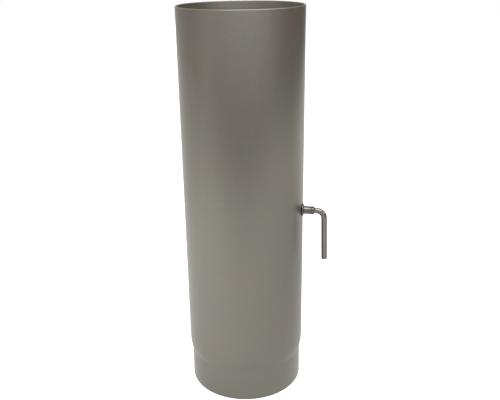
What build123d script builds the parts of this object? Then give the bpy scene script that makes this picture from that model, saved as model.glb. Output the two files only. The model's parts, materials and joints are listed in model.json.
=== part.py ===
from build123d import *
import math
import os

# Stove pipe with a butterfly damper: a 2 mm steel flue pipe with a disc on a bent bar.
# Frame: +Z up the pipe, origin on its axis at the spigot's open end, +X along the bar
# towards the handle. The handle hangs down and the disc stands upright, which is open.

# Pipe
pipe_length = 500.0
bore_diameter = 150.0       # nominal flue size, inside
pipe_wall = 2.0
socket_depth = 55.0         # top end, sized inside to take the next pipe's spigot
socket_ease = 0.2           # on radius, past the nominal bore
socket_taper = 4.0
spigot_length = 44.0        # bottom end, drawn in to enter the next socket
spigot_play = 0.7           # between spigot and socket, on radius
shoulder_height = 18.0      # rounded run from the spigot out to the pipe
rim_break = 0.5             # broken edges of both rims

# Bar across the flue
shaft_height = 247.5
shaft_diameter = 7.5
shaft_play = 0.1            # in the holes of the wall, on radius
shaft_proud = 1.5           # past the far wall
shaft_chamfer = 0.8

# Packing, washer and sleeve outside the near wall, from the wall outwards
ring_play = 0.3             # of what is threaded on the bar, on radius
seal_diameter = 14.0
seal_thickness = 0.5        # where the wall comes nearest
washer_diameter = 16.0
washer_thickness = 1.0
sleeve_length = 12.5
sleeve_lip_length = 0.9
sleeve_lip_wall = 1.3
sleeve_flare_length = 2.8   # from each lip down to the waist
sleeve_waist_wall = 0.9
sleeve_nose_length = 1.4    # cone at the outer end
sleeve_nose_wall = 0.2

# Handle
ear_length = 2.6            # the bar is pinched here, so that ears hold the sleeve
ear_reach = 1.05            # of each ear past the bar's side
pinch_depth = 0.85          # of the dents above and below
ear_to_bend = 0.6
bend_radius = 9.6           # on the bar's middle line
bend_angle = 88.5           # the bar springs back a little, so that the handle leans outwards
handle_drop = 66.3          # from the bar's middle line down to the tip
tip_chamfer = 1.0

# Disc
plate_thickness = 2.0
plate_rim_gap = 2.5         # between the disc and the bore
flat_depth = 1.25           # bar milled on both sides to seat the disc
flat_run_out = 0.5
vent_depth = 34.5           # two notches leave 20 square centimetres open when shut
vent_angle = 30.0
vent_corner = 5.0
relief_corner = 3.0         # of the notch in the disc round the split pin

# Screws, lock washers and nuts of the disc
screw_spacing = 80.0
screw_diameter = 4.0
screw_hole_play = 0.15      # on radius
hex_across_flats = 7.0
hex_chamfer_angle = 30.0
screw_head_height = 2.8
lock_washer_diameter = 7.4
lock_washer_thickness = 0.9
lock_washer_slit = 0.7
nut_height = 3.2
nut_play = 0.05             # on radius, in place of the thread
screw_past_nut = 1.0

# Washer and split pin inside the near wall
inner_washer_diameter = 14.0
inner_washer_thickness = 1.2
inner_washer_seat = 0.1     # from its edge to the round wall
pin_diameter = 2.0
pin_hole_play = 0.1         # on radius
pin_end_play = 0.3          # from the pin to the inner washer
pin_leg_gap = 0.1
pin_stem_past = 1.55        # straight part past the bar on each side
pin_eye_diameter = 4.4
pin_eye_width = 1.4
pin_leg_bend = 1.6
pin_leg_length = 2.6
pin_leg_angle = 55.0
pin_room_inwards = 7.6      # free space round the pin to fit it and spread its legs
pin_room_sideways = 1.8

# Worked out from the above
bore_radius = bore_diameter / 2
pipe_radius = bore_radius + pipe_wall
socket_radius = bore_radius + socket_ease
spigot_radius = socket_radius - spigot_play
shoulder_top = spigot_length + shoulder_height
shaft_radius = shaft_diameter / 2
seal_face = pipe_radius + seal_thickness
washer_face = seal_face + washer_thickness
sleeve_end = washer_face + sleeve_length + sleeve_nose_length
ear_end = sleeve_end + ear_length
bend_start = ear_end + ear_to_bend
bend_corner = bend_start + bend_radius * math.tan(math.radians(bend_angle / 2))
handle_lean = handle_drop / math.tan(math.radians(bend_angle))
plate_radius = bore_radius - plate_rim_gap
plate_seat = shaft_radius - flat_depth
inner_washer_face = math.sqrt(bore_radius**2 - (inner_washer_diameter / 2) ** 2) - inner_washer_seat
pin_distance = inner_washer_face - inner_washer_thickness - pin_end_play - pin_diameter / 2
pin_stem = shaft_diameter + 2 * pin_stem_past
pin_top = pin_stem / 2 + pin_eye_diameter - pin_diameter / 4
relief_bottom = pin_distance - pin_diameter / 2 - pin_room_inwards
relief_width = 2 * (pin_top + pin_room_sideways)
screw_hole_diameter = screw_diameter + 2 * screw_hole_play


def across_shaft(distance):
    # Plane square to the bar, with its first axis along +Y and its second along +Z.
    return Plane(origin=(distance, 0, shaft_height), x_dir=(0, 1, 0), z_dir=(1, 0, 0))


def along_plate(offset):
    # Plane of the disc, facing +Y, with its first axis along the bar.
    return Plane(origin=(0, offset, shaft_height), x_dir=(1, 0, 0), z_dir=(0, 1, 0))


def threaded_ring(distance, thickness, diameter):
    ring = Circle(diameter / 2) - Circle(shaft_radius + ring_play)
    return extrude(across_shaft(distance) * ring, thickness)


def shoulder_curve(radius, spigot_side, arc_radius):
    # Arc that leaves the pipe's side upright and falls in to the spigot's side.
    fall = radius - spigot_side
    height = math.sqrt(arc_radius**2 - (arc_radius - fall) ** 2)
    foot = (spigot_side, shoulder_top - height)
    return TangentArc((radius, shoulder_top), foot, tangent=(0, -1)), foot


def pipe_body():
    fall = pipe_radius - spigot_radius
    arc_radius = (shoulder_height**2 + fall**2) / (2 * fall)
    spigot_bore = spigot_radius - pipe_wall
    outer_arc, outer_foot = shoulder_curve(pipe_radius, spigot_radius, arc_radius)
    inner_arc, inner_foot = shoulder_curve(bore_radius, spigot_bore, arc_radius - pipe_wall)
    socket_bottom = pipe_length - socket_depth
    tube = Polyline(
        (pipe_radius, shoulder_top),
        (pipe_radius, pipe_length),
        (socket_radius, pipe_length),
        (socket_radius, socket_bottom),
        (bore_radius, socket_bottom - socket_taper),
        (bore_radius, shoulder_top),
    )
    spigot = Polyline(inner_foot, (spigot_bore, 0), (spigot_radius, 0), outer_foot)
    profile = make_face([*tube.edges(), inner_arc, *spigot.edges(), outer_arc])
    rims = profile.vertices().group_by(Axis.Y)[0] + profile.vertices().group_by(Axis.Y)[-1]
    profile = chamfer(rims, rim_break)
    pipe = revolve(Plane.XZ * profile, Axis.Z)
    hole = Circle(shaft_radius + shaft_play)
    return pipe - extrude(across_shaft(0) * hole, 2 * pipe_radius, both=True)


def seal_ring():
    # Packing squeezed to the round wall on one side and flat under the washer on the other.
    block = threaded_ring(bore_radius, seal_face - bore_radius, seal_diameter)
    pipe_space = extrude(Plane.XY * Circle(pipe_radius), pipe_length)
    return block - pipe_space


def spacer_sleeve():
    # Half section with the bar's middle line as its first axis.
    bore = shaft_radius + ring_play
    lip = bore + sleeve_lip_wall
    waist = bore + sleeve_waist_wall
    nose_end = sleeve_length + sleeve_nose_length
    waist_start = sleeve_lip_length + sleeve_flare_length
    section = Polyline(
        (0, bore),
        (0, lip),
        (sleeve_lip_length, lip),
        (waist_start, waist),
        (sleeve_length - waist_start, waist),
        (sleeve_length - sleeve_lip_length, lip),
        (sleeve_length, lip),
        (nose_end, bore + sleeve_nose_wall),
        (nose_end, bore),
        close=True,
    )
    sleeve = revolve(make_face(section), Axis.X)
    return Pos(washer_face, 0, shaft_height) * sleeve


def pinched_ears():
    # Metal pressed out to the front and back, lens-shaped from above.
    half_span = shaft_radius + ear_reach
    middle = (sleeve_end + ear_end) / 2
    arcs = []
    for side in (-1, 1):
        root = side * shaft_radius
        arcs.append(ThreePointArc((sleeve_end, root), (middle, side * half_span), (ear_end, root)))
    ends = [Line((x, -shaft_radius), (x, shaft_radius)) for x in (sleeve_end, ear_end)]
    lens = make_face([*arcs, *ends])
    return Pos(0, 0, shaft_height) * extrude(lens, shaft_radius - pinch_depth, both=True)


def pinch_marks():
    # Rounded dents above and below, left by the pinching jaws.
    jaw_radius = ((ear_length / 2) ** 2 + pinch_depth**2) / (2 * pinch_depth)
    middle = (sleeve_end + ear_end) / 2
    jaw = Rot(90, 0, 0) * Cylinder(jaw_radius, shaft_diameter)
    lift = shaft_radius - pinch_depth + jaw_radius
    return [Pos(middle, 0, shaft_height + side * lift) * jaw for side in (-1, 1)]


def screw_places():
    return [-screw_spacing / 2, screw_spacing / 2]


def handle_shaft():
    far_end = (-pipe_radius - shaft_proud, 0, shaft_height)
    corner = (bend_corner, 0, shaft_height)
    tip = (bend_corner + handle_lean, 0, shaft_height - handle_drop)
    path = FilletPolyline(far_end, corner, tip, radius=bend_radius)
    bar = sweep(across_shaft(far_end[0]) * Circle(shaft_radius), path=path)
    bar = chamfer(bar.edges().group_by(Axis.X)[0], shaft_chamfer)
    bar = chamfer(bar.edges().group_by(Axis.Z)[0], tip_chamfer)

    flats_start = -plate_radius - flat_run_out
    flats_length = relief_bottom + flat_run_out - flats_start
    waste = Box(flats_length, shaft_diameter, 2 * shaft_diameter)
    for side in (-1, 1):
        offset = side * (plate_seat + shaft_radius)
        bar -= Pos(flats_start + flats_length / 2, offset, shaft_height) * waste
    screw_hole = extrude(along_plate(0) * Circle(screw_hole_diameter / 2), shaft_diameter, both=True)
    for x in screw_places():
        bar -= Pos(x, 0, 0) * screw_hole
    bar -= Pos(pin_distance, 0, shaft_height) * Cylinder(pin_diameter / 2 + pin_hole_play, 2 * shaft_diameter)
    for mark in pinch_marks():
        bar -= mark
    return bar + pinched_ears()


def vent_notch():
    # Sector from the inner radius out past the rim, pointing along the second axis of the disc.
    half = math.radians(vent_angle / 2)
    reach = plate_radius * 1.2
    bottom = plate_radius - vent_depth
    inner = [(side * bottom * math.sin(half), bottom * math.cos(half)) for side in (-1, 1)]
    outer = [(side * reach * math.sin(half), reach * math.cos(half)) for side in (1, -1)]
    sector = make_face(Polyline(*inner, *outer, close=True))
    return fillet(sector.vertices().group_by(Axis.Y)[0], vent_corner)


def damper_plate():
    disc = Circle(plate_radius)
    for turn in (0, 180):
        disc -= Rot(0, 0, turn) * vent_notch()
    relief = RectangleRounded(2 * (plate_radius - relief_bottom), relief_width, relief_corner)
    disc -= Pos(plate_radius, 0) * relief
    for x in screw_places():
        disc -= Pos(x, 0) * Circle(screw_hole_diameter / 2)
    return extrude(along_plate(plate_seat) * disc, plate_thickness)


def hex_prism(height):
    # Hexagon with its outer corners turned off.
    prism = extrude(RegularPolygon(hex_across_flats / 2, 6, major_radius=False), height)
    corner_radius = hex_across_flats / math.sqrt(3)
    turned_off = (corner_radius - hex_across_flats / 2) * math.tan(math.radians(hex_chamfer_angle))
    blank = extrude(Circle(corner_radius), height)
    blank = chamfer(blank.edges().group_by(Axis.Z)[-1], turned_off, corner_radius - hex_across_flats / 2)
    return prism & blank


def one_screw():
    # Head upwards, seat at zero.
    length = plate_thickness + 2 * plate_seat + lock_washer_thickness + nut_height + screw_past_nut
    stem = extrude(Circle(screw_diameter / 2), -length)
    return hex_prism(screw_head_height) + stem


def one_lock_washer():
    # Split spring washer, seat at zero and lying below it.
    ring = Circle(lock_washer_diameter / 2) - Circle(screw_hole_diameter / 2)
    slit = Pos(lock_washer_diameter / 2, 0) * Rectangle(lock_washer_diameter, lock_washer_slit)
    return extrude(ring - slit, -lock_washer_thickness)


def one_nut():
    # Seat at zero, corners turned off on the free side below it.
    blank = Rot(180, 0, 0) * hex_prism(nut_height)
    return blank - extrude(Circle(screw_diameter / 2 + nut_play), -nut_height)


def on_screws(piece, offset):
    return Compound([along_plate(offset) * Pos(x, 0, 0) * piece for x in screw_places()])


def split_pin():
    # Half-round wire folded round an eye, with both legs bent apart behind the bar.
    wire = pin_diameter / 2
    half_gap = pin_leg_gap / 2
    stem_top = pin_stem / 2
    stem = Circle(wire) - Rectangle(pin_leg_gap, pin_diameter)
    pin = extrude(Pos(0, 0, -stem_top) * stem, pin_stem)
    eye_radius = pin_eye_diameter / 2
    eye = extrude(Circle(eye_radius) - Circle(eye_radius - wire), pin_eye_width / 2, both=True)
    pin += Pos(0, 0, stem_top + eye_radius - wire / 2) * Rot(90, 0, 0) * eye
    for side in (-1, 1):
        half_wire = Circle(wire) & Pos(side * wire, 0) * Rectangle(2 * (wire - half_gap), pin_diameter)
        bend_line = Axis((side * (half_gap + pin_leg_bend + wire), 0, -stem_top), (0, side, 0))
        foot = Pos(0, 0, -stem_top) * half_wire
        pin += revolve(foot, bend_line, -pin_leg_angle)
        turned = foot.rotate(bend_line, -pin_leg_angle)
        direction = Vector(0, 0, -1).rotate(Axis((0, 0, 0), (0, side, 0)), -pin_leg_angle)
        pin += extrude(turned, pin_leg_length, dir=direction)
    return Pos(pin_distance, 0, shaft_height) * Rot(0, 0, 90) * pin


nodes = {
    "pipe_body": pipe_body(),
    "seal_ring": seal_ring(),
    "wall_washer": threaded_ring(seal_face, washer_thickness, washer_diameter),
    "inner_washer": threaded_ring(inner_washer_face, -inner_washer_thickness, inner_washer_diameter),
    "handle_shaft": handle_shaft(),
    "spacer_sleeve": spacer_sleeve(),
    "split_pin": split_pin(),
    "damper_plate": damper_plate(),
    "plate_screws": on_screws(one_screw(), plate_seat + plate_thickness),
    "plate_lock_washers": on_screws(one_lock_washer(), -plate_seat),
    "plate_nuts": on_screws(one_nut(), -plate_seat - lock_washer_thickness),
}

os.makedirs("parts", exist_ok=True)
for name, shape in nodes.items():
    export_step(shape, f"parts/{name}.step")
    print(name, len(shape.solids()), "solids", round(shape.volume, 1), "mm3")
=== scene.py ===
import bpy
import json
import math
from mathutils import Matrix, Vector


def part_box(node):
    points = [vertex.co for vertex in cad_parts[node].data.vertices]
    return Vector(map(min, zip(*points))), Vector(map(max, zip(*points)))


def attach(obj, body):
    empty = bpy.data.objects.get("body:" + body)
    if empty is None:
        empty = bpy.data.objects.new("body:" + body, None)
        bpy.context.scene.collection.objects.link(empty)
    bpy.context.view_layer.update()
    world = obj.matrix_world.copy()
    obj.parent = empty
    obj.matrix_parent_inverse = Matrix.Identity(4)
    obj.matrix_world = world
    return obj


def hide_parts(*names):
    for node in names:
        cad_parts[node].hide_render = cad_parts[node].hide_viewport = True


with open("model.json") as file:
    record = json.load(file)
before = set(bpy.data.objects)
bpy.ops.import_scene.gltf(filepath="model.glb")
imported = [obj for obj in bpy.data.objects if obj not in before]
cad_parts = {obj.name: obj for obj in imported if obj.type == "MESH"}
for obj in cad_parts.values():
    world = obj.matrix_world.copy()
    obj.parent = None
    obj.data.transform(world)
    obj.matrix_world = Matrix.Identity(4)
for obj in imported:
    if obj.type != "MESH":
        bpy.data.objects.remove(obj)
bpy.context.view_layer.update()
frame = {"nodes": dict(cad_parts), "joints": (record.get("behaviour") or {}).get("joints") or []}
mm = 0.001
weldGap = 0.002 * mm    # vertices nearer than this are one
samePlace = 0.02 * mm    # places nearer than this count as the same
smoothAngle = 35    # degrees: faces that meet flatter than this shade as one
noiseSpan = {"From Min": 0.3, "From Max": 0.7}    # nearly all of a noise pattern's values lie in here
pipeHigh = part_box("pipe_body")[1]
barHeight = frame["joints"][0]["pos_m"][2]
print("frame loaded:", len(frame["nodes"]), "pieces")


def linearColour(hexValue):
    # sRGB hex, as a colour picker shows it, to the linear values that shaders use
    channels = [int(hexValue[i:i + 2], 16) / 255 for i in (1, 3, 5)]
    linear = [c / 12.92 if c <= 0.04045 else ((c + 0.055) / 1.055) ** 2.4 for c in channels]
    return (*linear, 1.0)


def addNode(tree, kind, settings=None, links=None):
    node = tree.nodes.new(kind)
    for name, value in (settings or {}).items():
        if isinstance(name, int) or name in node.inputs:
            node.inputs[name].default_value = value
        else:
            setattr(node, name, value)
    for socket, source in (links or {}).items():
        tree.links.new(source, node.inputs[socket])
    return node


def newMaterial(name):
    material = bpy.data.materials.new(name)
    material.use_nodes = True
    material.node_tree.nodes.clear()
    return material, material.node_tree


def perMetre(size):
    # noise scale that gives grains of about this size in mm
    return 1 / (size * mm)


# Heat-resistant stove paint, sprayed: satin, with a fine dry grain, tiny pigment specks
# and clouds a little warmer or cooler where the coat is thicker or thinner.
def stovePaint(name, look):
    material, tree = newMaterial(name)
    place = addNode(tree, "ShaderNodeTexCoord").outputs["Object"]
    cloud = addNode(tree, "ShaderNodeTexNoise", {"Scale": perMetre(look["cloudSize"]), "Detail": 3.0},
                    {"Vector": place})
    grain = addNode(tree, "ShaderNodeTexNoise", {"Scale": perMetre(look["grainSize"]), "Detail": 4.0},
                    {"Vector": place})
    speck = addNode(tree, "ShaderNodeTexVoronoi", {"Scale": perMetre(look["speckSize"])},
                    {"Vector": place})
    cloudStep = addNode(tree, "ShaderNodeMapRange", noiseSpan, {"Value": cloud.outputs["Fac"]})
    tone = addNode(tree, "ShaderNodeMix", {"data_type": "RGBA", 6: linearColour(look["warm"]),
                                           7: linearColour(look["cool"])},
                   {0: cloudStep.outputs["Result"]})
    grainStep = addNode(tree, "ShaderNodeMapRange", {**noiseSpan, "To Min": 1 - look["grainTone"],
                                                     "To Max": 1 + look["grainTone"]},
                        {"Value": grain.outputs["Fac"]})
    grained = addNode(tree, "ShaderNodeVectorMath", {"operation": "SCALE"},
                      {"Vector": tone.outputs[2], "Scale": grainStep.outputs["Result"]})
    rare, rarest = look["speckPick"]
    speckPick = addNode(tree, "ShaderNodeMapRange", {"From Min": rare, "From Max": rarest,
                                                     "To Max": look["speckTone"]},
                        {"Value": speck.outputs["Color"]})
    coat = addNode(tree, "ShaderNodeMix", {"data_type": "RGBA", 7: linearColour(look["fleck"])},
                   {0: speckPick.outputs["Result"], 6: grained.outputs["Vector"]})
    if "rim" in look:    # painted highlight: a band along the top rim is drawn paler, standing in for light caught on the edge
        height = addNode(tree, "ShaderNodeSeparateXYZ", {}, {0: place}).outputs["Z"]
        rimHighlightBand = addNode(tree, "ShaderNodeMapRange", {"From Min": look["rimStart"],
                                                    "From Max": look["rimEnd"]}, {"Value": height})
        coat = addNode(tree, "ShaderNodeMix", {"data_type": "RGBA", 7: linearColour(look["rim"])},
                       {0: rimHighlightBand.outputs["Result"], 6: coat.outputs[2]})
    gloss = addNode(tree, "ShaderNodeMapRange", {**noiseSpan,
                                                 "To Min": look["roughness"] - look["glossSwing"],
                                                 "To Max": look["roughness"] + look["glossSwing"]},
                    {"Value": grain.outputs["Fac"]})
    relief = addNode(tree, "ShaderNodeBump", {"Strength": look["relief"],
                                              "Distance": look["reliefDepth"] * mm},
                     {"Height": grain.outputs["Fac"]})
    shader = addNode(tree, "ShaderNodeBsdfPrincipled", {"Metallic": look["metallic"]},
                     {"Base Color": coat.outputs[2], "Roughness": gloss.outputs["Result"],
                      "Normal": relief.outputs["Normal"]})
    addNode(tree, "ShaderNodeOutputMaterial", {}, {"Surface": shader.outputs["BSDF"]})
    return material


# Zinc-plated steel: bluish bright metal, dulled in soft patches.
def zincSteel(name, look):
    material, tree = newMaterial(name)
    place = addNode(tree, "ShaderNodeTexCoord").outputs["Object"]
    patch = addNode(tree, "ShaderNodeTexNoise", {"Scale": perMetre(look["patchSize"]), "Detail": 4.0},
                    {"Vector": place})
    grain = addNode(tree, "ShaderNodeTexNoise", {"Scale": perMetre(look["grainSize"]), "Detail": 2.0},
                    {"Vector": place})
    tone = addNode(tree, "ShaderNodeMix", {"data_type": "RGBA", 6: linearColour(look["dull"]),
                                           7: linearColour(look["bright"])},
                   {0: patch.outputs["Fac"]})
    smooth, rough = look["roughness"]
    gloss = addNode(tree, "ShaderNodeMapRange", {**noiseSpan, "To Min": smooth, "To Max": rough},
                    {"Value": patch.outputs["Fac"]})
    relief = addNode(tree, "ShaderNodeBump", {"Strength": look["relief"],
                                              "Distance": look["reliefDepth"] * mm},
                     {"Height": grain.outputs["Fac"]})
    shader = addNode(tree, "ShaderNodeBsdfPrincipled", {"Metallic": 1.0},
                     {"Base Color": tone.outputs[2], "Roughness": gloss.outputs["Result"],
                      "Normal": relief.outputs["Normal"]})
    addNode(tree, "ShaderNodeOutputMaterial", {}, {"Surface": shader.outputs["BSDF"]})
    return material


# Woven glass-fibre packing, soaked in black filler: matt, with a fine fuzzy thread pattern.
def fibrePacking(name, look):
    material, tree = newMaterial(name)
    place = addNode(tree, "ShaderNodeTexCoord").outputs["Object"]
    wavesPerScale = 10 * math.sqrt(3) / (2 * math.pi)    # diagonal bands to a metre at scale 1
    thread = addNode(tree, "ShaderNodeTexWave", {"Scale": perMetre(look["threadSpacing"]) / wavesPerScale,
                                                 "Distortion": look["threadWander"], "Detail": 2.0,
                                                 "bands_direction": "DIAGONAL"},
                     {"Vector": place})
    tone = addNode(tree, "ShaderNodeMix", {"data_type": "RGBA", 6: linearColour(look["gap"]),
                                           7: linearColour(look["thread"])},
                   {0: thread.outputs["Fac"]})
    relief = addNode(tree, "ShaderNodeBump", {"Strength": look["relief"],
                                              "Distance": look["reliefDepth"] * mm},
                     {"Height": thread.outputs["Fac"]})
    shader = addNode(tree, "ShaderNodeBsdfPrincipled", {"Roughness": look["roughness"],
                                                        "Specular IOR Level": look["shine"]},
                     {"Base Color": tone.outputs[2], "Normal": relief.outputs["Normal"]})
    addNode(tree, "ShaderNodeOutputMaterial", {}, {"Surface": shader.outputs["BSDF"]})
    return material


# Grain and specks are really some tenths of a millimetre: they are drawn coarser so that they show.
# All sizes of the coats are in millimetres.
pipeCoat = {
    "warm": "#747168", "cool": "#717168", "fleck": "#a5a39b", "cloudSize": 70, "grainSize": 2.2,
    "speckSize": 1.1, "grainTone": 0.05, "speckTone": 0.10, "roughness": 0.36, "glossSwing": 0.04,
    "relief": 0.2, "reliefDepth": 0.02, "metallic": 0.7,
    "speckPick": (0.90, 0.96),    # only the cells with the highest values show as specks
}
# the rim colour is a painted highlight along the pipe's top edge
pipeCoatWithRimHighlight = dict(pipeCoat, rim="#868379", rimStart=pipeHigh.z - 1.4 * mm, rimEnd=pipeHigh.z - 0.6 * mm)
handleCoat = dict(pipeCoat, warm="#716e66", cool="#6e6e68", cloudSize=15, grainSize=0.5,
                  roughness=0.28, metallic=0.8)
# the bar's paint drawn darker for the sleeve: painted shade, not a different paint
shadedSleeveCoat = dict(handleCoat, warm="#64615b", cool="#61615c", roughness=0.32, metallic=0.95)
discCoat = dict(pipeCoat, warm="#6b675e", cool="#676661", roughness=0.6, cloudSize=40)
pipePaint = stovePaint("pipe stove paint satin grey", pipeCoatWithRimHighlight)
handlePaint = stovePaint("handle stove paint satin grey", handleCoat)
shadedSleevePaint = stovePaint("sleeve stove paint dark grey", shadedSleeveCoat)
discPaint = stovePaint("disc stove paint matt grey", discCoat)
zincLook = {
    "dull": "#8f9193", "bright": "#c3c5c4", "patchSize": 3, "grainSize": 0.4, "roughness": (0.28, 0.48),
    "relief": 0.25, "reliefDepth": 0.02,
}
packingLook = {
    "gap": "#060606", "thread": "#171615", "threadWander": 3.0, "roughness": 0.95, "shine": 0.2,
    "relief": 0.6, "reliefDepth": 0.1,
    "threadSpacing": 5.8,    # really under 1 mm, drawn coarser so that it shows
}
plainZinc = zincSteel("zinc plated steel", zincLook)
blackPacking = fibrePacking("black fibre packing", packingLook)
print("materials ready")


def clearSelection():
    if bpy.context.object and bpy.context.object.mode != "OBJECT":
        bpy.ops.object.mode_set(mode="OBJECT")
    bpy.ops.object.select_all(action="DESELECT")


def ringVectors(axis, along, scale):
    if axis == "X":
        return (along, 0, 0), (1, scale, scale)
    return (0, 0, along), (scale, scale, 1)


def startRing(name, axis, centre, radius, points):
    # circle square to its axis, with its place in the mesh
    clearSelection()
    turn = (0, math.pi / 2, 0) if axis == "X" else (0, 0, 0)
    bpy.ops.mesh.primitive_circle_add(vertices=points, radius=radius, location=centre, rotation=turn)
    piece = bpy.context.object
    piece.name = name
    bpy.ops.object.transform_apply(location=True, rotation=True, scale=True)
    bpy.ops.object.mode_set(mode="EDIT")
    bpy.ops.mesh.select_mode(type="EDGE")
    bpy.ops.mesh.select_all(action="SELECT")
    return piece


def pullRing(centre, move, spread, lean=0):
    # new ring from the selected one, moved, then spread about its own middle along axes leaned about X
    bpy.ops.mesh.extrude_edges_move(TRANSFORM_OT_translate={"value": move})
    middle = Vector(centre) + Vector(move)
    axes = Matrix.Rotation(math.radians(lean), 3, "X").transposed()
    bpy.ops.transform.resize(value=spread, center_override=middle, orient_type="GLOBAL",
                             orient_matrix=axes, orient_matrix_type="GLOBAL")
    return middle


def turnOutline(name, axis, centre, outline, points):
    # closed outline of (distance along the axis, radius), pulled round ring by ring
    lastPlace, lastRadius = outline[0]
    middle = Vector(centre) + Vector(ringVectors(axis, lastPlace, 1)[0])
    piece = startRing(name, axis, middle, lastRadius, points)
    for place, radius in [*outline[1:], outline[0]]:
        move, spread = ringVectors(axis, place - lastPlace, radius / lastRadius)
        middle = pullRing(middle, move, spread)
        lastPlace, lastRadius = place, radius
    closeSkin()
    return piece


def closeSkin():
    bpy.ops.mesh.select_all(action="SELECT")
    bpy.ops.mesh.remove_doubles(threshold=weldGap)
    bpy.ops.mesh.normals_make_consistent(inside=False)


def pickEdges(piece, test):
    # select the edges whose two ends both pass the test
    bpy.ops.object.mode_set(mode="EDIT")
    bpy.ops.mesh.select_mode(type="EDGE")
    bpy.ops.mesh.select_all(action="DESELECT")
    bpy.ops.object.mode_set(mode="OBJECT")
    corners = piece.data.vertices
    for edge in piece.data.edges:
        edge.select = all(test(corners[i].co) for i in edge.vertices)
    bpy.ops.object.mode_set(mode="EDIT")


def roundEdges(piece, test, width, steps):
    pickEdges(piece, test)
    bpy.ops.mesh.bevel(offset=width, segments=steps, affect="EDGES", clamp_overlap=True)


def finishPiece(piece, body, node, paint):
    bpy.ops.object.mode_set(mode="OBJECT")
    clearSelection()
    piece.select_set(True)
    bpy.context.view_layer.objects.active = piece
    bpy.ops.object.shade_smooth_by_angle(angle=math.radians(smoothAngle))
    piece.data.materials.clear()
    piece.data.materials.append(paint)
    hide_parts(node)
    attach(piece, body)
    print(piece.name, len(piece.data.polygons), "faces")


def near(value, target):
    return abs(value - target) < samePlace


def distanceFromAxis(point):
    return math.hypot(point.x, point.y)


def cutAway(piece, cutters):
    # saw or drill the cutters out of the piece and throw them away
    bpy.ops.object.mode_set(mode="OBJECT")
    for cutter in cutters:
        clearSelection()
        bpy.context.view_layer.objects.active = piece
        saw = piece.modifiers.new("saw", "BOOLEAN")
        saw.operation = "DIFFERENCE"
        saw.solver = "EXACT"
        saw.object = cutter
        bpy.ops.object.modifier_apply(modifier=saw.name)
        bpy.data.objects.remove(cutter, do_unlink=True)
    clearSelection()
    piece.select_set(True)
    bpy.context.view_layer.objects.active = piece


def drill(centre, turn, radius, length, points):
    clearSelection()
    bpy.ops.mesh.primitive_cylinder_add(vertices=points, radius=radius, depth=length, location=centre,
                                        rotation=turn)
    return bpy.context.object


def onBar(distance):
    return Vector((distance, 0, barHeight))


def distanceFromBar(point):
    return math.hypot(point.y, point.z - barHeight)


# Pipe: rolled sheet with a drawn-in spigot, rounded rims and a low weld bead down its back
pipe = {
    "outside": pipeHigh.x, "wall": 2.0 * mm, "height": pipeHigh.z, "spigotRadius": 74.5 * mm,
    "spigotTop": 44 * mm, "shoulderTop": 62 * mm, "shoulderSteps": 9, "socketDepth": 55 * mm,
    "socketEase": 0.2 * mm, "socketTaper": 4 * mm, "rimRound": 0.7 * mm, "creaseRound": 2.2 * mm,
    "roundSteps": 4, "points": 256, "barHole": 3.85 * mm, "holePoints": 48, "barZone": 9 * mm,
    "weldRise": 0.15 * mm,
}


def shoulderArc(topRadius, footRadius, arcRadius, steps):
    # falls from upright at the top to the spigot, as (height, radius) from the foot up
    fall = topRadius - footRadius
    drop = math.sqrt(arcRadius ** 2 - (arcRadius - fall) ** 2)
    heights = [drop * (1 - k / steps) for k in range(steps + 1)]
    return [(pipe["shoulderTop"] - h, topRadius - arcRadius + math.sqrt(arcRadius ** 2 - h ** 2))
            for h in heights]


def onWeld(point):
    # the outer skin's line of points at the back, straight, on the shoulder and on the spigot
    fall = pipe["outside"] - pipe["spigotRadius"]
    share = (point.z - pipe["spigotTop"]) / (pipe["shoulderTop"] - pipe["spigotTop"])
    skin = pipe["spigotRadius"] + fall * min(max(share, 0), 1)
    return near(point.x, 0) and point.y > skin - pipe["wall"] / 2


def makePipe():
    outside = pipe["outside"]
    inside = outside - pipe["wall"]
    fall = outside - pipe["spigotRadius"]
    rise = pipe["shoulderTop"] - pipe["spigotTop"]
    arcRadius = (rise ** 2 + fall ** 2) / (2 * fall)
    spigotBore = pipe["spigotRadius"] - pipe["wall"]
    socketBottom = pipe["height"] - pipe["socketDepth"]
    socketBore = inside + pipe["socketEase"]
    outer = shoulderArc(outside, pipe["spigotRadius"], arcRadius, pipe["shoulderSteps"])
    inner = shoulderArc(inside, spigotBore, arcRadius - pipe["wall"], pipe["shoulderSteps"])
    holeBelt = [barHeight - pipe["barZone"], barHeight + pipe["barZone"]]    # keeps the holes' faces short
    throughBoth = 4 * outside    # a drill as long as this goes through both walls
    outline = [(0, pipe["spigotRadius"]), *outer, *[(z, outside) for z in holeBelt],
               (pipe["height"], outside), (pipe["height"], socketBore), (socketBottom, socketBore),
               (socketBottom - pipe["socketTaper"], inside), *[(z, inside) for z in reversed(holeBelt)],
               *reversed(inner), (0, spigotBore)]
    body = turnOutline("stovePipe", "Z", (0, 0, 0), outline, pipe["points"])
    roundEdges(body, lambda p: near(p.z, 0) or near(p.z, pipe["height"]), pipe["rimRound"],
               pipe["roundSteps"])
    roundEdges(body, lambda p: near(p.z, pipe["spigotTop"])
               and near(distanceFromAxis(p), pipe["spigotRadius"]), pipe["creaseRound"], pipe["roundSteps"])
    pickEdges(body, onWeld)
    bpy.ops.transform.translate(value=(0, pipe["weldRise"], 0))
    cutAway(body, [drill(onBar(0), (0, math.pi / 2, 0), pipe["barHole"], throughBoth, pipe["holePoints"])])
    finishPiece(body, "pipe", "pipe_body", pipePaint)


makePipe()

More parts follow.
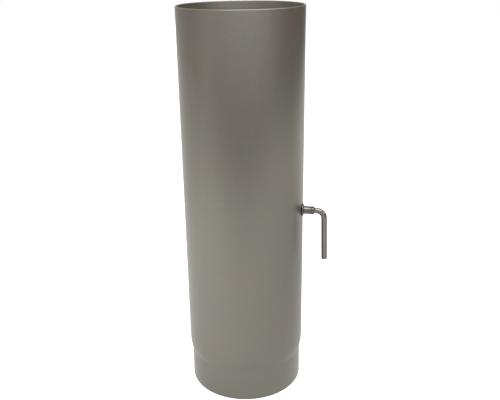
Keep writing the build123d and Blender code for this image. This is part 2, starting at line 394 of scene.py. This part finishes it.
# What sits on the bar outside the wall, from the wall outwards, as distances from the pipe's axis
stack = {
    "packingFace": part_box("seal_ring")[1].x, "packingRadius": 7.0 * mm, "packingBulge": 0.25 * mm,
    "washerFace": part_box("wall_washer")[1].x, "washerRadius": 8.0 * mm, "washerRound": 0.3 * mm,
    "sleeveEnd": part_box("spacer_sleeve")[1].x, "bore": 4.05 * mm, "points": 96, "roundSteps": 3,
    "bulgeShares": (0.6, 0.75, 0.9),    # of the packing's depth: the bulge starts, is full, and fades
}
sleeve = {
    "lipRadius": 5.4 * mm, "waistRadius": 5.0 * mm, "lip": 0.9 * mm, "nose": 1.4 * mm,
    "noseRadius": 4.25 * mm, "waistSteps": 10, "waistPower": 4, "edgeRound": 0.3 * mm,
    "neck": 0.7 * mm, "neckRadius": 4.5 * mm,
    "runningGap": 0.05 * mm,    # the sleeve turns and the washer doesn't
}


def makeWallWasher():
    thickness = stack["washerFace"] - stack["packingFace"]
    outline = [(0, stack["bore"]), (0, stack["washerRadius"]), (thickness, stack["washerRadius"]),
               (thickness, stack["bore"])]
    washer = turnOutline("wallWasher", "X", onBar(stack["packingFace"]), outline, stack["points"])
    roundEdges(washer, lambda p: near(distanceFromBar(p), stack["washerRadius"]), stack["washerRound"],
               stack["roundSteps"])
    finishPiece(washer, "pipe", "wall_washer", handlePaint)


def waistLine():
    # nearly straight in the middle and flared to the two lips, as (distance along the sleeve, radius)
    first = sleeve["neck"] + sleeve["lip"]
    last = stack["sleeveEnd"] - stack["washerFace"] - sleeve["nose"] - sleeve["lip"]
    half = (last - first) / 2
    sink = sleeve["lipRadius"] - sleeve["waistRadius"]
    spots = [-1 + 2 * k / sleeve["waistSteps"] for k in range(sleeve["waistSteps"] + 1)]
    return [(first + half * (1 + s), sleeve["waistRadius"] + sink * s ** sleeve["waistPower"]) for s in spots]


def makeSleeve():
    length = stack["sleeveEnd"] - stack["washerFace"]
    noseStart = length - sleeve["nose"]
    start = sleeve["runningGap"]
    outline = [(start, stack["bore"]), (start, sleeve["neckRadius"]),
               (sleeve["neck"], sleeve["neckRadius"]), (sleeve["neck"], sleeve["lipRadius"]), *waistLine(),
               (noseStart, sleeve["lipRadius"]), (length, sleeve["noseRadius"]), (length, stack["bore"])]
    spacer = turnOutline("spacerSleeve", "X", onBar(stack["washerFace"]), outline, stack["points"])
    lipEdges = (sleeve["neck"], sleeve["neck"] + sleeve["lip"], noseStart - sleeve["lip"], noseStart)
    lipPlaces = [stack["washerFace"] + place for place in lipEdges]
    roundEdges(spacer, lambda p: near(distanceFromBar(p), sleeve["lipRadius"])
               and any(near(p.x, place) for place in lipPlaces), sleeve["edgeRound"], stack["roundSteps"])
    finishPiece(spacer, "damper", "spacer_sleeve", shadedSleevePaint)


def makePacking():
    # soft ring squeezed between washer and round wall, so that it bulges at its edge
    depth = pipe["wall"]
    start = stack["packingFace"] - depth
    radius = stack["packingRadius"]
    crown = radius + stack["packingBulge"]
    swells, full, fades = [depth * share for share in stack["bulgeShares"]]
    outline = [(0, stack["bore"]), (0, radius), (swells, radius), (full, crown), (fades, crown),
               (depth, radius), (depth, stack["bore"])]
    packing = turnOutline("packingRing", "X", onBar(start), outline, stack["points"])
    pastRing = 4 * radius    # taller than the ring, so that the pipe's round cuts all of it
    flueSpace = drill(onBar(0), (0, 0, 0), pipe["outside"], pastRing, pipe["points"])
    cutAway(packing, [flueSpace])
    finishPiece(packing, "pipe", "seal_ring", blackPacking)


# Bar: milled flat where the disc sits, pinched outside the sleeve and bent down into the handle
bar = {
    "radius": 3.75 * mm, "farEnd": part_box("handle_shaft")[0].x, "points": 64, "drop": 66.3 * mm,
    "bendRadius": 9.6 * mm, "bendAngle": 88.5, "bendSteps": 14, "pinchToBend": 0.6 * mm,
    "pinchLength": 2.6 * mm, "pinchSteps": 8, "earReach": 0.9 * mm, "pinchDepth": 0.85 * mm, "pinchLean": 45,
    "flatStart": -73.0 * mm, "flatEnd": 64.0 * mm, "flatHalf": 2.5 * mm, "flatRamp": 0.4 * mm,
    "tipRound": 1.3 * mm, "endRound": 0.8 * mm, "roundSteps": 5, "screwPlaces": (-40 * mm, 40 * mm),
    "screwHole": 2.15 * mm, "screwHolePoints": 32, "pinPlace": 72.07 * mm, "pinHole": 1.1 * mm,
    "pinHolePoints": 24, "drillLength": 20 * mm,
    "tipBand": 0.375 * mm,    # the tip's ring leans with the handle, within this height
}


def pinchWidths(share):
    # the jaws press the bar flat from two opposite sides, so that it spreads to the other two
    press = math.sin(math.pi * share) ** 2
    return 1 + press * bar["earReach"] / bar["radius"], 1 - press * bar["pinchDepth"] / bar["radius"]


def makeBar():
    stations = [(bar["farEnd"], 1, 1), (bar["flatStart"], 1, 1), (bar["flatStart"] + bar["flatRamp"], 1, 1),
                (bar["flatEnd"] - bar["flatRamp"], 1, 1), (bar["flatEnd"], 1, 1)]
    for k in range(bar["pinchSteps"] + 1):
        share = k / bar["pinchSteps"]
        place = stack["sleeveEnd"] + share * bar["pinchLength"]
        stations.append((place, *pinchWidths(share)))
    bendStart = stack["sleeveEnd"] + bar["pinchLength"] + bar["pinchToBend"]
    stations.append((bendStart, 1, 1))
    piece = startRing("handleBar", "X", onBar(bar["farEnd"]), bar["radius"], bar["points"])
    middle = onBar(bar["farEnd"])
    wide, high = 1, 1
    for place, nextWide, nextHigh in stations[1:]:
        spread = (1, nextWide / wide, nextHigh / high)
        middle = pullRing(middle, (place - middle.x, 0, 0), spread, bar["pinchLean"])
        wide, high = nextWide, nextHigh
    bend = math.radians(bar["bendAngle"])
    bendCentre = onBar(bendStart) - Vector((0, 0, bar["bendRadius"]))
    bpy.ops.mesh.spin(steps=bar["bendSteps"], angle=-bend, center=bendCentre, axis=(0, 1, 0))
    straight = (bar["drop"] - bar["bendRadius"] * (1 - math.cos(bend))) / math.sin(bend)
    hang = straight * Vector((math.cos(bend), 0, -math.sin(bend)))
    bpy.ops.mesh.extrude_edges_move(TRANSFORM_OT_translate={"value": hang})
    closeBarEnds(piece)
    millFlats(piece)
    drillBar(piece)
    finishPiece(piece, "damper", "handle_shaft", handlePaint)


def closeBarEnds(piece):
    tipTop = barHeight - bar["drop"] + bar["tipBand"]
    ends = {"endRound": lambda p: near(p.x, bar["farEnd"]), "tipRound": lambda p: p.z < tipTop}
    for test in ends.values():
        pickEdges(piece, test)
        bpy.ops.mesh.edge_face_add()
    closeSkin()
    for width, test in ends.items():
        roundEdges(piece, test, bar[width], bar["roundSteps"])


def millFlats(piece):
    # press both sides of the bar flat where the disc lies on it
    inner = bar["flatStart"] + bar["flatRamp"] / 2
    outer = bar["flatEnd"] - bar["flatRamp"] / 2
    for side in (-1, 1):
        pickEdges(piece, lambda p: inner < p.x < outer and side * p.y > bar["flatHalf"])
        bpy.ops.transform.resize(value=(1, 0, 1), center_override=(0, side * bar["flatHalf"], 0))


def drillBar(piece):
    bits = [drill(onBar(x), (math.pi / 2, 0, 0), bar["screwHole"], bar["drillLength"], bar["screwHolePoints"])
            for x in bar["screwPlaces"]]
    bits.append(drill(onBar(bar["pinPlace"]), (0, 0, 0), bar["pinHole"], bar["drillLength"],
                      bar["pinHolePoints"]))
    cutAway(piece, bits)


makeWallWasher()
makeSleeve()
makePacking()
makeBar()

# Hidden hardware in the flue: the solids' own shape with its edges broken, as on stamped and turned
# pieces. Each has its name, body, finish, slot and the width of its broken edges in millimetres.
hardware = {
    "damper_plate": ("damperDisc", "damper", discPaint, "plate_steel", 0.35),
    "inner_washer": ("innerWasher", "pipe", plainZinc, "plain_steel", 0.2),
    "split_pin": ("splitPin", "damper", plainZinc, "plain_steel", 0.1),
    "plate_screws": ("discScrews", "damper", plainZinc, "plain_steel", 0.12),
    "plate_lock_washers": ("discLockWashers", "damper", plainZinc, "plain_steel", 0.12),
    "plate_nuts": ("discNuts", "damper", plainZinc, "plain_steel", 0.12),
}
breaking = {"flatAngle": 2, "edgeAngle": 40, "steps": 2}    # faces meeting under flatAngle are one face


def softenSolid(node, name, body, paint, slotName, edge):
    clearSelection()
    solid = frame["nodes"][node]
    solid.select_set(True)
    bpy.context.view_layer.objects.active = solid
    bpy.ops.object.duplicate(linked=False)
    piece = bpy.context.object
    piece.name = name
    for key in list(piece.keys()):    # the copy isn't a frame node any more
        del piece[key]
    bpy.ops.object.mode_set(mode="EDIT")
    bpy.ops.mesh.select_all(action="SELECT")
    bpy.ops.mesh.remove_doubles(threshold=weldGap)
    bpy.ops.mesh.dissolve_limited(angle_limit=math.radians(breaking["flatAngle"]))
    bpy.ops.object.mode_set(mode="OBJECT")
    softEdge = piece.modifiers.new("softEdge", "BEVEL")
    softEdge.width = edge * mm
    softEdge.segments = breaking["steps"]
    softEdge.limit_method = "ANGLE"
    softEdge.angle_limit = math.radians(breaking["edgeAngle"])
    bpy.ops.object.modifier_apply(modifier=softEdge.name)
    finishPiece(piece, body, node, paint)


for nodeName, values in hardware.items():
    softenSolid(nodeName, *values)

# Camera, fitted to the rim, sides and spigot of the photograph
photoView = {
    "lens": 47.78, "sensor": 36.0, "distance": 810.1 * mm, "height": 555.1 * mm, "aside": 8.1 * mm,
    "pitch": 20.31, "roll": -0.79, "turn": 13.0, "clipStart": 10 * mm,
}


def placeCamera():
    camera = bpy.data.objects.new("photoCamera", bpy.data.cameras.new("photoCamera"))
    bpy.context.scene.collection.objects.link(camera)
    camera.data.lens = photoView["lens"]
    camera.data.sensor_width = photoView["sensor"]
    camera.data.clip_start = photoView["clipStart"]
    stand = Vector((photoView["aside"], -photoView["distance"], photoView["height"]))
    aroundPipe = Matrix.Rotation(math.radians(photoView["turn"]), 4, "Z")
    tilt = Matrix.Rotation(math.radians(90 - photoView["pitch"]), 4, "X")
    roll = Matrix.Rotation(math.radians(photoView["roll"]), 4, "Z")
    camera.matrix_world = aroundPipe @ Matrix.Translation(stand) @ tilt @ roll
    bpy.context.scene.camera = camera


placeCamera()

# Studio: white floor sheet, pale wall and window in front, a small side window, a white sweep behind to
# the left, a bright ceiling and a dim warm room. The panels' edges and the reaches of sweep, ceiling and
# backdrop are parts of a unit direction, the floor and its painted shadow are in metres.
studio = {
    "room": "#705b56", "sweep": "#fff0ee", "sweepTowards": (-120, -28), "sweepReach": (-0.10, 1.4),
    "ceiling": 1.8, "ceilingReach": (0.65, 0.95), "backdropReach": (0.86, 0.98),
    "wall": {"colour": "#fffefc", "towards": -8, "sides": (0.12, 0.68), "foot": (-0.11, 0.02),
             "top": (0.34, 0.48), "strength": 0.88},
    "window": {"colour": "#e8ecff", "towards": 6, "sides": (0.6, 1.0), "foot": (0.06, 0.26),
               "top": (0.40, 0.60), "strength": 0.85},
    "sideWindow": {"colour": "#ffffff", "towards": 78, "sides": (0.74, 0.80), "foot": (0.42, 0.52),
                   "top": (0.62, 0.72), "strength": 6.0},
    "floorX": (-3.4, 2.4), "floorY": (-1.15, 5.4), "floorLift": 0.9, "floorTone": 0.45,
    # shadeCentre, shadeReach and floorMirror set a painted shadow in the floor's glow that reflections see
    "shadeCentre": (0.50, 0.16, 0), "shadeReach": (0.15, 0.72), "floorMirror": (0.25, 0.71),
}
keyLamp = {"place": (0.2, -0.6, 1.6), "target": (0.05, 0, 0.25), "size": (1.5, 0.55), "watts": 20}
poolLamp = {"place": (-0.70, -0.25, 2.2), "watts": 205, "cone": 38, "blend": 1.0, "bulb": 0.1}


def fromCamera(vector):
    # a direction or place in front of the camera, turned with it
    return Matrix.Rotation(math.radians(photoView["turn"]), 4, "Z") @ Vector(vector)


def towards(sideways, up):
    # degrees to the right of the camera's side, and up
    a, e = math.radians(sideways), math.radians(up)
    return fromCamera((math.sin(a) * math.cos(e), -math.cos(a) * math.cos(e), math.sin(e)))


def hangLamp(name, data, place, target):
    holder = bpy.data.objects.new(name, data)
    bpy.context.scene.collection.objects.link(holder)
    holder.location = place
    holder.rotation_euler = (target - place).to_track_quat("-Z", "Y").to_euler()


def addLamps():
    key = bpy.data.lights.new("keyLamp", "AREA")
    key.shape = "RECTANGLE"
    key.size, key.size_y = keyLamp["size"]
    key.energy = keyLamp["watts"]
    hangLamp("keyLamp", key, fromCamera(keyLamp["place"]), fromCamera(keyLamp["target"]))
    pool = bpy.data.lights.new("poolLamp", "SPOT")    # straight down on the floor to the left
    pool.energy = poolLamp["watts"]
    pool.spot_size = math.radians(poolLamp["cone"])
    pool.spot_blend = poolLamp["blend"]
    pool.shadow_soft_size = poolLamp["bulb"]
    place = fromCamera(poolLamp["place"])
    hangLamp("poolLamp", pool, place, place - Vector((0, 0, 1)))


def slope(tree, value, span, high=1.0):
    low, top = span
    return addNode(tree, "ShaderNodeMapRange", {"interpolation_type": "SMOOTHSTEP", "From Min": low,
                                                "From Max": top, "To Min": 0.0, "To Max": high},
                   {"Value": value}).outputs["Result"]


def brightPanel(tree, look, height, panel):
    # upright patch of light on the room's wall, soft at all its edges
    facing = addNode(tree, "ShaderNodeVectorMath", {"operation": "DOT_PRODUCT",
                                                    1: towards(panel["towards"], 0)}, {0: look})
    sides = slope(tree, facing.outputs["Value"], panel["sides"], panel["strength"])
    foot = slope(tree, height, panel["foot"])
    top = slope(tree, height, panel["top"])
    belowTop = addNode(tree, "ShaderNodeMath", {"operation": "SUBTRACT", 0: 1.0}, {1: top})
    upright = addNode(tree, "ShaderNodeMath", {"operation": "MULTIPLY"},
                      {0: foot, 1: belowTop.outputs["Value"]})
    patch = addNode(tree, "ShaderNodeMath", {"operation": "MULTIPLY"},
                    {0: sides, 1: upright.outputs["Value"]})
    return addNode(tree, "ShaderNodeBackground", {"Color": linearColour(panel["colour"])},
                   {"Strength": patch.outputs["Value"]})


def plainSight(tree):
    # the light path node, and a value of 1 for rays straight from the camera or through clear things
    path = addNode(tree, "ShaderNodeLightPath")
    seen = addNode(tree, "ShaderNodeMath", {"operation": "MAXIMUM"},
                   {0: path.outputs["Is Camera Ray"], 1: path.outputs["Is Transmission Ray"]})
    return path, seen.outputs["Value"]


def makeWorld():
    world = bpy.data.worlds.new("studioRoom")
    world.use_nodes = True
    tree = world.node_tree
    tree.nodes.clear()
    look = addNode(tree, "ShaderNodeTexCoord").outputs["Generated"]    # in a world this is the direction
    height = addNode(tree, "ShaderNodeSeparateXYZ", {}, {0: look}).outputs["Z"]
    inSweep = addNode(tree, "ShaderNodeVectorMath", {"operation": "DOT_PRODUCT",
                                                     1: towards(*studio["sweepTowards"])}, {0: look})
    sweep = slope(tree, inSweep.outputs["Value"], studio["sweepReach"])
    walls = addNode(tree, "ShaderNodeMix", {"data_type": "RGBA", 6: linearColour(studio["room"]),
                                            7: linearColour(studio["sweep"])}, {0: sweep})
    room = addNode(tree, "ShaderNodeBackground", {}, {"Color": walls.outputs[2]})
    overhead = slope(tree, height, studio["ceilingReach"], studio["ceiling"])
    ceiling = addNode(tree, "ShaderNodeBackground", {"Color": (1, 1, 1, 1)}, {"Strength": overhead})
    room = addNode(tree, "ShaderNodeAddShader", {}, {0: room.outputs[0], 1: ceiling.outputs[0]})
    for panel in (studio["wall"], studio["window"], studio["sideWindow"]):
        glow = brightPanel(tree, look, height, panel)
        room = addNode(tree, "ShaderNodeAddShader", {}, {0: room.outputs[0], 1: glow.outputs[0]})
    backdrop = addNode(tree, "ShaderNodeBackground", {"Color": (1, 1, 1, 1)})
    path, seen = plainSight(tree)
    behind = addNode(tree, "ShaderNodeVectorMath", {"operation": "DOT_PRODUCT", 1: towards(180, 0)},
                     {0: look})
    white = slope(tree, behind.outputs["Value"], studio["backdropReach"])    # the pipe's sides mirror it
    mirrored = addNode(tree, "ShaderNodeMath", {"operation": "MULTIPLY"},
                       {0: path.outputs["Is Glossy Ray"], 1: white})
    plain = addNode(tree, "ShaderNodeMath", {"operation": "MAXIMUM"},
                    {0: seen, 1: mirrored.outputs["Value"]})
    shown = addNode(tree, "ShaderNodeMixShader", {}, {0: plain.outputs["Value"], 1: room.outputs[0],
                                                      2: backdrop.outputs[0]})
    addNode(tree, "ShaderNodeOutputWorld", {}, {"Surface": shown.outputs[0]})
    bpy.context.scene.world = world


def makeFloor():
    clearSelection()
    left, right = studio["floorX"]
    front, back = studio["floorY"]
    middle = fromCamera(((left + right) / 2, (front + back) / 2, 0))
    bpy.ops.mesh.primitive_plane_add(size=1, location=middle,
                                     rotation=(0, 0, math.radians(photoView["turn"])))
    floor = bpy.context.object
    floor.name = "studioFloor"
    floor.scale = (right - left, back - front, 1)
    bpy.ops.object.transform_apply(location=True, rotation=True, scale=True)
    material, tree = newMaterial("white studio floor")
    path, seen = plainSight(tree)
    place = addNode(tree, "ShaderNodeTexCoord").outputs["Object"]
    # what glossy rays see of the floor glows less near shadeCentre: a painted shadow of the pipe on the floor
    reach = addNode(tree, "ShaderNodeVectorMath", {"operation": "DISTANCE",
                                                   1: fromCamera(studio["shadeCentre"])},
                    {0: place}).outputs["Value"]
    closeBy, farOff = studio["shadeReach"]
    dim, full = studio["floorMirror"]
    glossyGlowWithPaintedShadow = addNode(tree, "ShaderNodeMapRange", {"From Min": closeBy, "From Max": farOff, "To Min": dim,
                                                 "To Max": full}, {"Value": reach})
    mirrored = addNode(tree, "ShaderNodeMath", {"operation": "MULTIPLY"},
                       {0: path.outputs["Is Glossy Ray"], 1: glossyGlowWithPaintedShadow.outputs["Result"]})
    lift = addNode(tree, "ShaderNodeMath", {"operation": "MULTIPLY_ADD", 1: studio["floorLift"]},
                   {0: seen, 2: mirrored.outputs["Value"]})
    matt = addNode(tree, "ShaderNodeBsdfDiffuse", {"Color": (*[studio["floorTone"]] * 3, 1)})
    glow = addNode(tree, "ShaderNodeEmission", {"Color": (1, 1, 1, 1)}, {"Strength": lift.outputs["Value"]})
    both = addNode(tree, "ShaderNodeAddShader", {}, {0: matt.outputs["BSDF"], 1: glow.outputs["Emission"]})
    addNode(tree, "ShaderNodeOutputMaterial", {}, {"Surface": both.outputs["Shader"]})
    floor.data.materials.append(material)


addLamps()
makeWorld()
makeFloor()
bpy.context.scene.view_settings.view_transform = "Standard"
print("studio ready")
